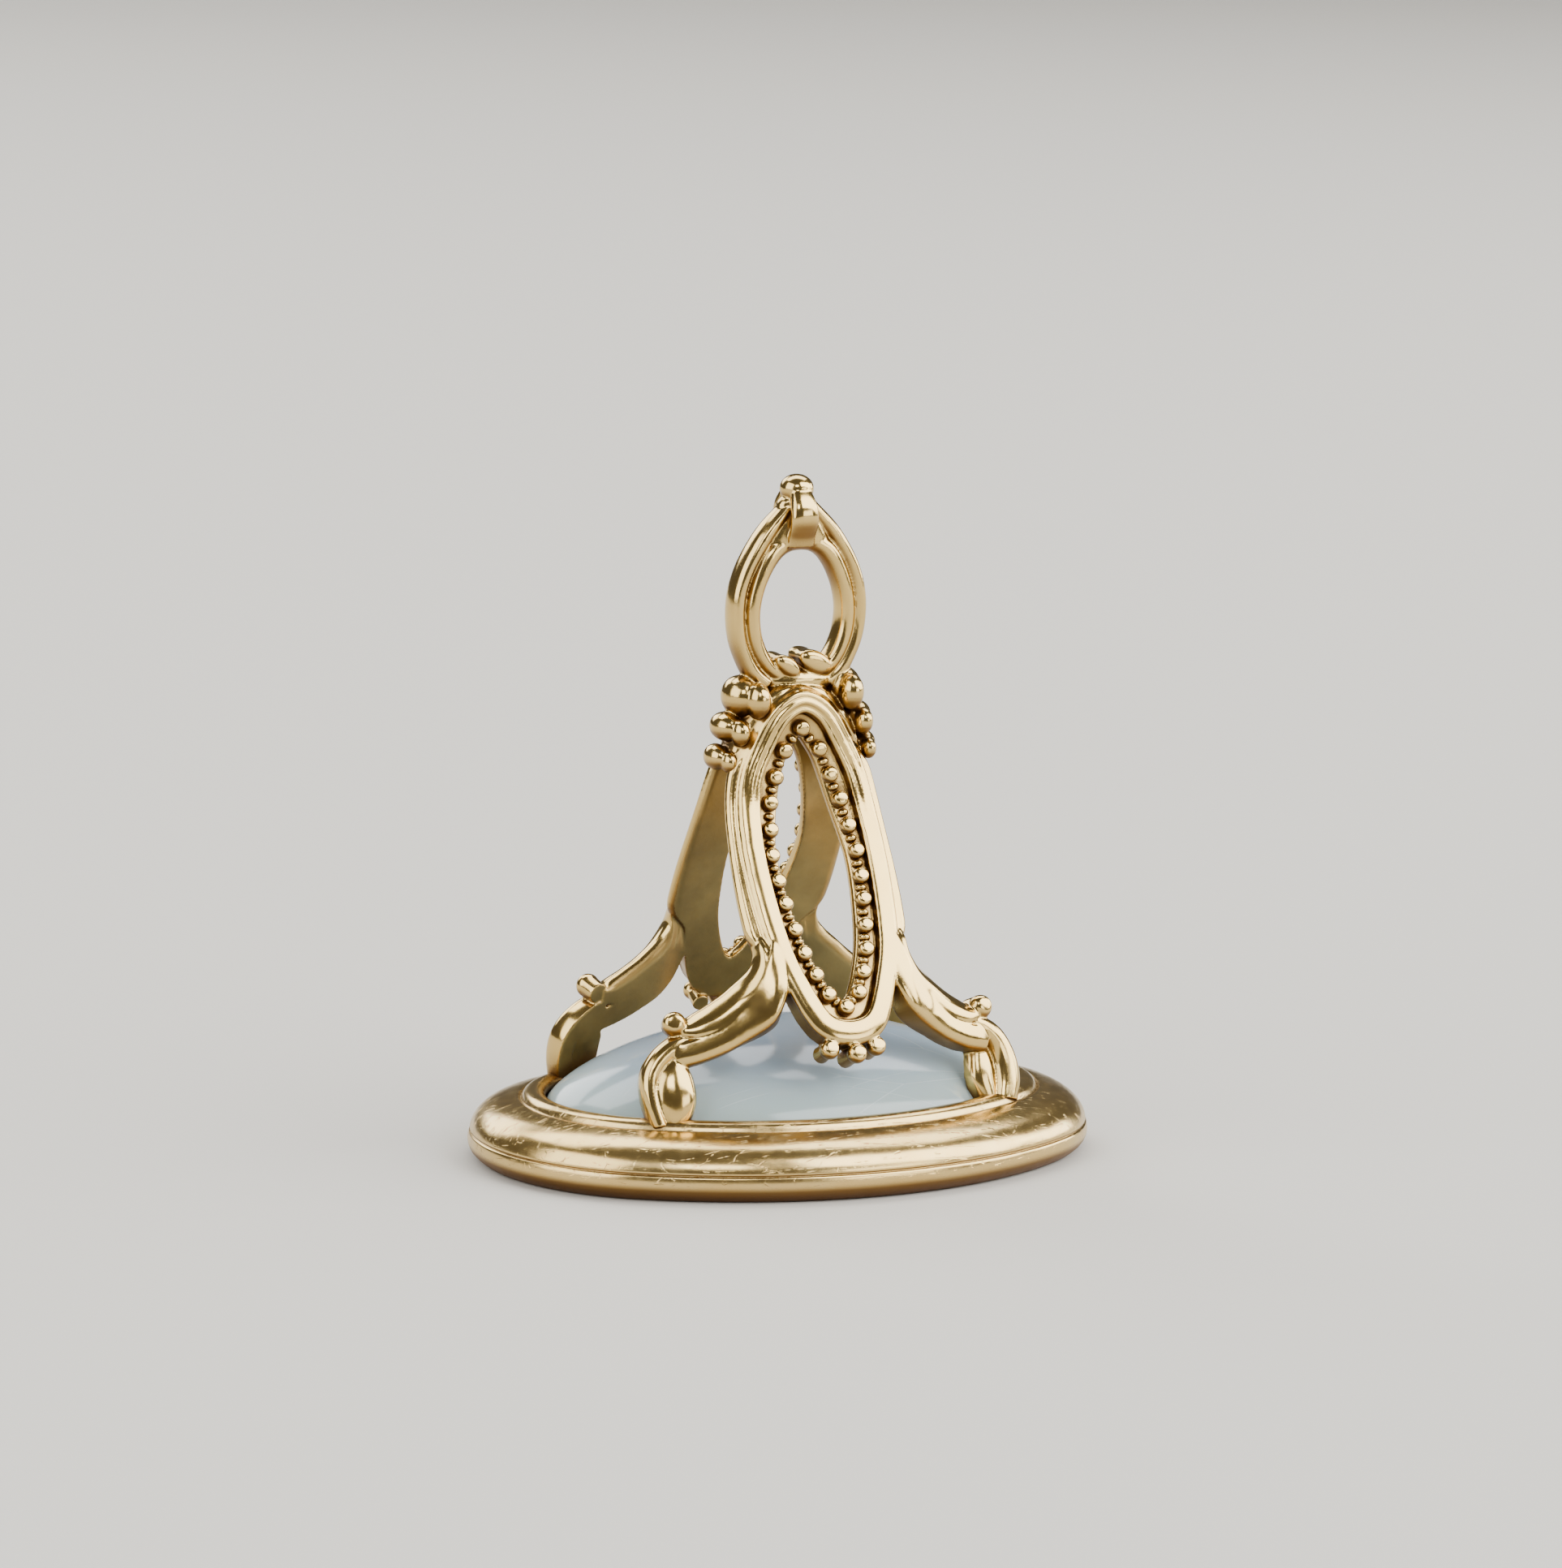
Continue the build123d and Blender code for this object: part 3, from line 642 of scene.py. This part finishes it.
def addPost(bm, x, depth, z):
    # bead-ended post, square to the plate
    start, end = lean(x, depth, z), lean(x, posts["length"], z)
    addBall(bm, start, posts["radius"], facing=start - end)
    addRod(bm, start.lerp(end, posts["rodFrom"]), end, posts["rod"] * posts["rodTaper"], posts["rod"])


def throughModifier(bm, kind, **settings):
    # the shape after one modifier, as a new bmesh
    mesh = bpy.data.meshes.new("mould")
    bm.to_mesh(mesh)
    bm.free()
    holder = bpy.data.objects.new("mould", mesh)
    bpy.context.scene.collection.objects.link(holder)
    modifier = holder.modifiers.new("cast", kind)
    for key, value in settings.items():
        setattr(modifier, key, value)
    bpy.context.view_layer.update()
    skin = bpy.data.meshes.new_from_object(holder.evaluated_get(bpy.context.evaluated_depsgraph_get()))
    bm = bmesh.new()
    bm.from_mesh(skin)
    bpy.data.objects.remove(holder)
    bpy.data.meshes.remove(mesh)
    bpy.data.meshes.remove(skin)
    return bm


def castTogether(bm, voxel, smoothing, triangles):
    # runs overlapping shapes into one skin, as the metal does in the mould
    bmesh.ops.recalc_face_normals(bm, faces=bm.faces)
    bm = throughModifier(bm, "REMESH", mode="VOXEL", voxel_size=voxel)
    for i in range(smoothing):
        bmesh.ops.smooth_vert(bm, verts=bm.verts, factor=0.5, use_axis_x=True, use_axis_y=True, use_axis_z=True)
    share = triangles / (2 * len(bm.faces))
    return bm if share >= 1 else throughModifier(bm, "DECIMATE", ratio=share)


def sagging(x, z):
    drop, left, right, low, high = leg["sag"]
    return z - drop * fade(left, right, x) * fade(low, high, z)


def addLeg(bm, side):
    half = bmesh.new()
    for name, profile in stripSections.items():
        rows = leg[name]
        if side > 0:
            rows = leg.get("right" + name.capitalize(), rows)
            rows = [(x, front, sagging(x, z), width) for x, front, z, width in rows]
        addStrip(half, rows, profile, leg["back"], leg["stations"])
    x, z, radius = leg["scroll"]
    z = sagging(x, z) if side > 0 else z
    front, rear = lean(x, leg["scrollDepth"], z), lean(x, leg["back"] - leg["scrollEnd"], z)
    addBall(half, front, radius, scale=(1, leg["scrollFlat"], 1), facing=front - rear)
    addRod(half, front, rear, *(radius * share for share in leg["scrollRod"]))
    addPost(half, posts["side"], posts["sideDepth"], posts["sideHeight"])
    bmesh.ops.scale(half, vec=(side, 1, 1), verts=half.verts)
    mesh = bpy.data.meshes.new("leg")
    half.to_mesh(mesh)
    half.free()
    bm.from_mesh(mesh)
    bpy.data.meshes.remove(mesh)


def makePlate():
    bm = bmesh.new()
    addPlate(bm)
    for side in (-1, 1):
        addLeg(bm, side)
    addPost(bm, 0, posts["middleDepth"], posts["middleHeight"])
    return castTogether(bm, plate["voxel"], plate["smoothing"], plate["triangles"])


def dent(bm, x, behind, z, reach, depth):
    # a knock in the edge of the front
    spot, inside = lean(x, behind, z), lean(x - 1, behind, z)
    way = (inside - spot).normalized()
    for vert in bm.verts:
        away = (vert.co - spot).length
        if away < reach:
            vert.co += way * depth * fade(reach, reach * 0.3, away)


def dressPlates():
    front = makePlate()
    for face in front.faces:
        if face.normal.y > plate["mattFacing"]:
            face.material_index = 1
    back = front.copy()
    bmesh.ops.scale(back, vec=(1, -1, 1), verts=back.verts)
    bmesh.ops.reverse_faces(back, faces=back.faces)
    dent(front, *plate["nick"])
    for name, bm in (("frontPlate", front), ("backPlate", back)):
        piece = finishPiece(bm, name, [polishedGold, mattGold], merge=0.0002, recalc=False)
        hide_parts("gold_mount")


dressPlates()
print("plates and legs made")


# beads round the openings

beads = {
    # right half of the row from the top down (x, z)
    "row": [(0, 18.68), (0.82, 17.77), (1.30, 16.70), (1.67, 15.70), (1.86, 14.65), (2.02, 13.65), (1.98, 12.65),
            (1.87, 11.75), (1.68, 10.73), (1.48, 9.80), (1.13, 8.92), (0.73, 8.13), (0, 7.59)],
    "radius": 0.375,
    "depth": 0.31,             # middle of a bead behind the face
    "stem": 0.33,              # radius of its foot
    "stemStep": 0.22,          # the foot's middle behind the bead's
    "reel": 0.25,              # radius of the small flattened bead between two
    "reelStep": 0.10,          # its middle behind the beads'
    "reelFlat": 0.72,
}


def makeBeads(b):
    bm = bmesh.new()
    row = mirrored(b["row"])
    for i, (x, z) in enumerate(row):
        front, rear = lean(x, b["depth"], z), lean(x, b["depth"] + b["stemStep"], z)
        addBall(bm, front, b["radius"], facing=front - rear, segments=24)
        addBall(bm, rear, b["stem"], segments=16)
        nextX, nextZ = row[(i + 1) % len(row)]
        spot = lean((x + nextX) / 2, b["depth"] + b["reelStep"], (z + nextZ) / 2)
        along = (lean(nextX, 0, nextZ) - lean(x, 0, z)).normalized()
        reel = addBall(bm, Vector((0, 0, 0)), b["reel"], scale=(1, 1, b["reelFlat"]), segments=16)
        bmesh.ops.transform(bm, verts=reel, matrix=Matrix.Translation(spot)
                            @ along.to_track_quat("Z", "Y").to_matrix().to_4x4())
    back = bm.copy()
    bmesh.ops.scale(back, vec=(1, -1, 1), verts=back.verts)
    for name, half in (("frontBeads", bm), ("backBeads", back)):
        finishPiece(half, name, [polishedGold], merge=0.0002)


makeBeads(beads)
print("beads made")


# neck, knobs, bail and finial, cast in one

crown = {
    "voxel": 0.05,
    "smoothing": 2,
    "triangles": 150000,
    # saddle between the plates, right half: x, z, half height, half depth
    "saddle": [(0, 20.02, 0.64, 1.02), (0.9, 19.85, 0.64, 1.02), (1.6, 19.25, 0.62, 0.98), (2.2, 18.50, 0.56, 0.92),
               (2.6, 17.80, 0.48, 0.86), (2.85, 17.15, 0.38, 0.80)],
    # knobs, from the top: side lobe (x, z) and half sizes, front lobe (x, distance from the middle plane, z) and
    # half sizes, its shift to the right
    "knobs": [((2.44, 20.13), (0.80, 1.00, 0.90), (2.22, 0.90, 20.02), (0.53, 0.64, 0.78), 0.22),
              ((3.10, 18.88), (0.65, 0.88, 0.63), (2.94, 0.80, 18.68), (0.40, 0.56, 0.58), 0.16),
              ((3.50, 17.60), (0.51, 0.76, 0.57), (3.34, 0.70, 17.44), (0.33, 0.46, 0.46), 0.09)],
    "knobTilt": 0.042,         # the knobs on the right sit a little higher
    # bail: x, z, half width and half depth along the outer band, right half from the top down
    "outerBand": [(0.30, 28.42, 0.28, 0.42), (0.66, 27.98, 0.32, 0.50), (1.41, 27.20, 0.35, 0.58),
                  (1.98, 26.42, 0.36, 0.62), (2.50, 25.50, 0.35, 0.63), (2.82, 24.55, 0.34, 0.63),
                  (2.91, 23.55, 0.34, 0.63), (2.78, 22.50, 0.34, 0.62), (2.42, 21.60, 0.36, 0.60),
                  (2.00, 20.95, 0.40, 0.60), (1.45, 20.50, 0.44, 0.60)],
    "bandShift": 0.12,         # the ring is cast a little to the right
    # inner roll, right half from the top down: x, z, half width, half depth
    "innerRoll": [(0, 26.62, 0.40, 0.50), (0.52, 26.58, 0.42, 0.52), (1.03, 26.38, 0.46, 0.56),
                  (1.42, 26.02, 0.47, 0.60), (1.79, 25.40, 0.44, 0.62), (2.11, 24.55, 0.41, 0.64),
                  (2.26, 23.60, 0.40, 0.64), (2.16, 22.65, 0.40, 0.64), (1.86, 21.85, 0.39, 0.64),
                  (1.40, 21.22, 0.38, 0.64), (0.88, 20.88, 0.36, 0.62), (0.35, 20.84, 0.33, 0.60)],
    "rollShift": 0.18,
    "web": [(26.50, 1.50), (26.90, 1.36), (27.40, 1.05), (27.90, 0.70), (28.40, 0.36)],   # height, half width
    "webShift": 0.08,
    "webDepth": 0.56,
    "filling": (0.26, 20.62, 1.76, 0.82, 0.62),      # metal behind the scroll ends: x, z, half sizes
    # folded tongue from the ball down: distance from the middle plane, z, half width, half thickness
    "tongue": [(0.22, 28.95, 0.38, 0.26), (0.54, 28.62, 0.50, 0.30), (0.78, 28.20, 0.60, 0.34),
               (0.88, 27.85, 0.62, 0.34), (0.90, 27.55, 0.64, 0.30), (0.80, 27.20, 0.64, 0.24),
               (0.66, 26.85, 0.63, 0.20), (0.56, 26.42, 0.62, 0.18)],
    "ball": (0.02, 28.86, 0.74, 0.86),       # x, z, radius, flattening
    "shoulder": (-0.52, 28.32, 0.46, 0.42, 0.24, -38),     # lump left of the ball: x, z, half sizes, tilt
    # rolled ends of the scrolls over the neck: x, z, half length, half width, tilt
    "scrollEnds": [(-0.46, 21.30, 0.68, 0.38, 37), (0.84, 21.42, 0.80, 0.48, 27)],
    # their shape from the front to the back: place, share of the size
    "leaf": [(-0.84, 0.05), (-0.825, 0.42), (-0.78, 0.72), (-0.68, 0.93), (-0.52, 1.0), (0.0, 0.94), (0.52, 1.0),
             (0.68, 0.93), (0.78, 0.72), (0.825, 0.42), (0.84, 0.05)],
}


def addTube(bm, rows, through, count, sides=20, square=1.0):
    # rounded bar along the rows of (x, y, z, half width, half through); through is its broad direction
    through = Vector(through)
    ring = bmesh.ops.create_circle(bm, segments=sides, radius=1)["verts"]
    edges = list({e for v in ring for e in v.link_edges})
    start = edges
    angles = [math.atan2(v.co.y, v.co.x) for v in ring]
    for k in range(count + 1):
        if k:
            ring, edges = extrudeRing(bm, ring, edges)
        share = k / count
        x, y, z, half, deep = glide(rows, share)
        ahead, behind = glide(rows, min(share + 0.01, 1)), glide(rows, max(share - 0.01, 0))
        along = Vector([p - q for p, q in zip(ahead[:3], behind[:3])]).normalized()
        across = along.cross(through)
        for vert, angle in zip(ring, angles):
            u, v = math.cos(angle), math.sin(angle)
            u, v = math.copysign(abs(u) ** square, u), math.copysign(abs(v) ** square, v)
            vert.co = Vector((x, y, z)) + across * half * u + through * deep * v
    bmesh.ops.contextual_create(bm, geom=start)
    bmesh.ops.contextual_create(bm, geom=edges)


def makeCrown(c):
    bm = bmesh.new()
    saddle = [(-x, 0, z, h, d) for x, z, h, d in c["saddle"][:0:-1]] + [(x, 0, z, h, d) for x, z, h, d in c["saddle"]]
    addTube(bm, saddle, (0, 1, 0), 60, square=0.7)
    for (sideX, sideZ), sideSize, (frontX, depth, frontZ), frontSize, shift in c["knobs"]:
        for side in (-1, 1):
            addBall(bm, Vector((side * sideX, 0, sideZ + side * sideX * c["knobTilt"])), 1, scale=sideSize)
            x = side * frontX + shift
            for face in (-1, 1):
                addBall(bm, Vector((x, face * depth, frontZ + x * c["knobTilt"])), 1, scale=frontSize)
    for side in (-1, 1):
        for name, shift, count in (("outerBand", "bandShift", 70), ("innerRoll", "rollShift", 80)):
            rows = [(side * x + c[shift], 0, z, w, d) for x, z, w, d in c[name]]
            addTube(bm, rows, (0, 1, 0), count, square=0.9)
    addTube(bm, [(c["webShift"], 0, z, w, c["webDepth"]) for z, w in c["web"]], (0, 1, 0), 24, square=0.6)
    x, z, halfX, halfY, halfZ = c["filling"]
    addBall(bm, Vector((x, 0, z)), 1, scale=(halfX, halfY, halfZ))
    for face in (-1, 1):
        addTube(bm, [(0, face * y, z, t, w) for y, z, w, t in c["tongue"]], (1, 0, 0), 40, square=0.85)
    for x, z, length, width, tilt in c["scrollEnds"]:
        away = Vector((math.cos(math.radians(tilt)), 0, -math.sin(math.radians(tilt))))
        addTube(bm, [(x, y, z, width * share, length * share) for y, share in c["leaf"]], away, 40, sides=32)
    x, z, radius, flat = c["ball"]
    addBall(bm, Vector((x, 0, z)), radius, scale=(1, 1, flat), segments=36)
    x, z, halfX, halfY, halfZ, tilt = c["shoulder"]
    addBall(bm, Vector((x, 0, z)), 1, scale=(halfX, halfY, halfZ), turn=math.radians(tilt))
    bm = castTogether(bm, c["voxel"], c["smoothing"], c["triangles"])
    piece = finishPiece(bm, "crown", [polishedGold], merge=0.0002, recalc=False)


makeCrown(crown)
print("neck, bail and finial made")
